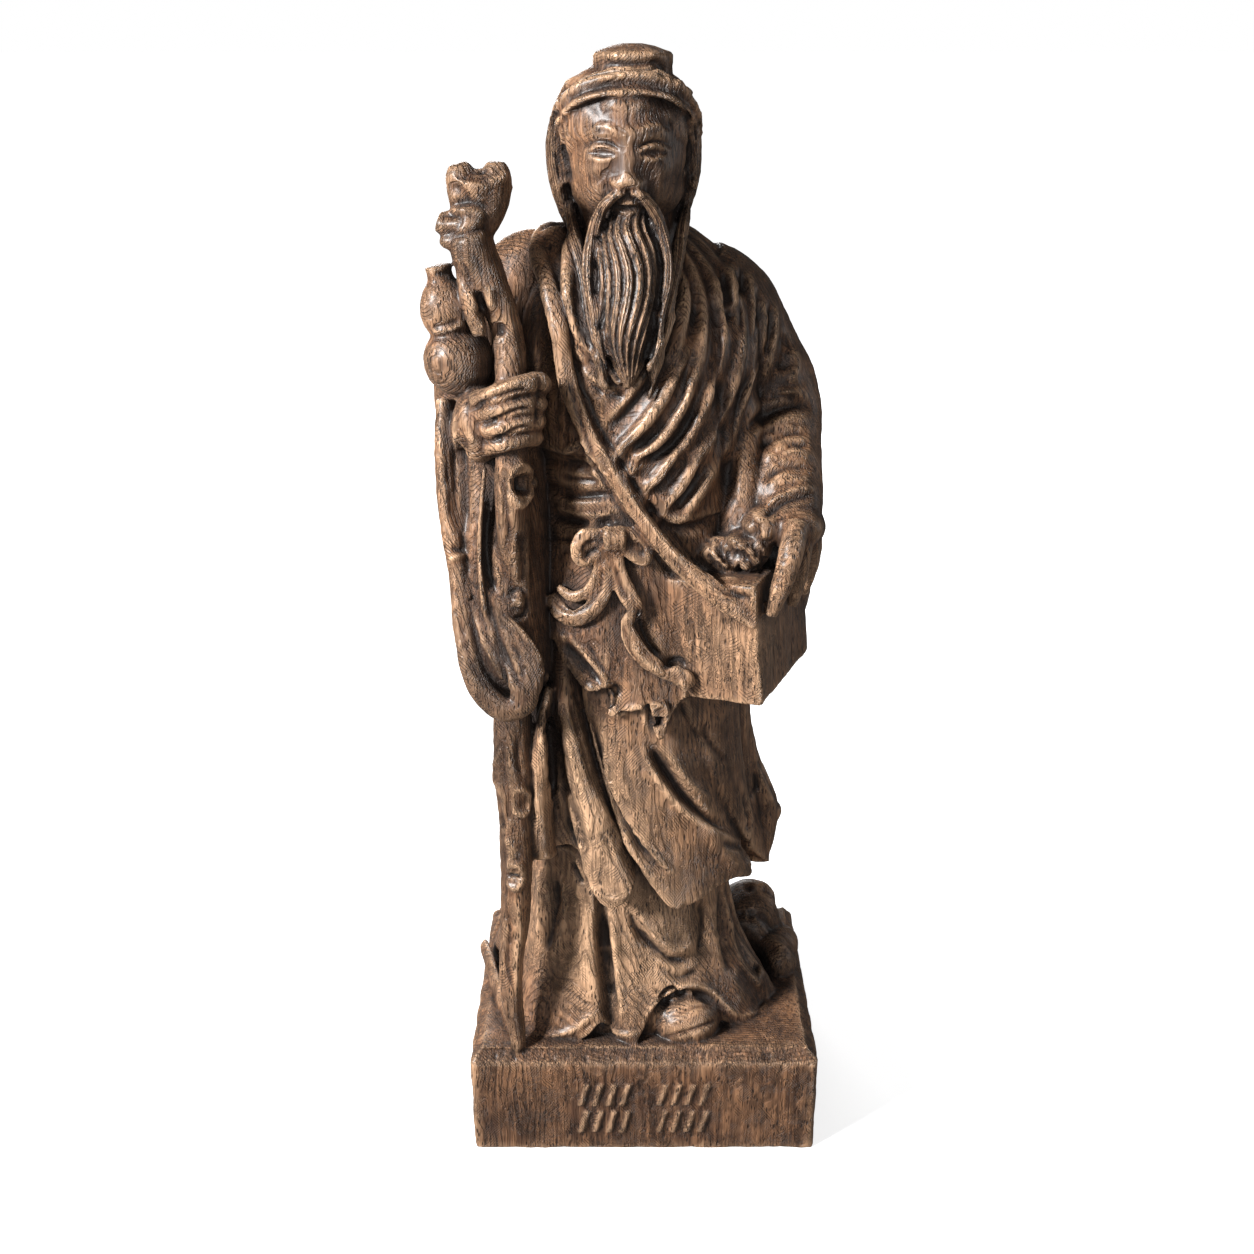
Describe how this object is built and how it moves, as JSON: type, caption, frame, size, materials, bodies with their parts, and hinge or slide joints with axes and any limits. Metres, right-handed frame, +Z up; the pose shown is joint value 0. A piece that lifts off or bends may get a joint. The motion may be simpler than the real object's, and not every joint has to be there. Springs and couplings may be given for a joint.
{
  "type": "carved wooden physician statue",
  "caption": "Carved hardwood figure of a bearded old physician in a pleated robe, with a gnarled staff, gourd and medicine chest, standing on a low block plinth.",
  "frame": {"origin": "centre of the plinth's underside", "axes": "+Z up along the figure, -Y the way the figure faces, +X to the viewer's right"},
  "size_m": [0.1044, 0.076, 0.3],
  "materials": {
    "wood": "waxed dark hardwood, worn tan on the raised parts and near black in the recesses, with fine chisel marks and long pores"
  },
  "bodies": {
    "root": {"physician_carving": "wood"}
  },
  "joints": []
}
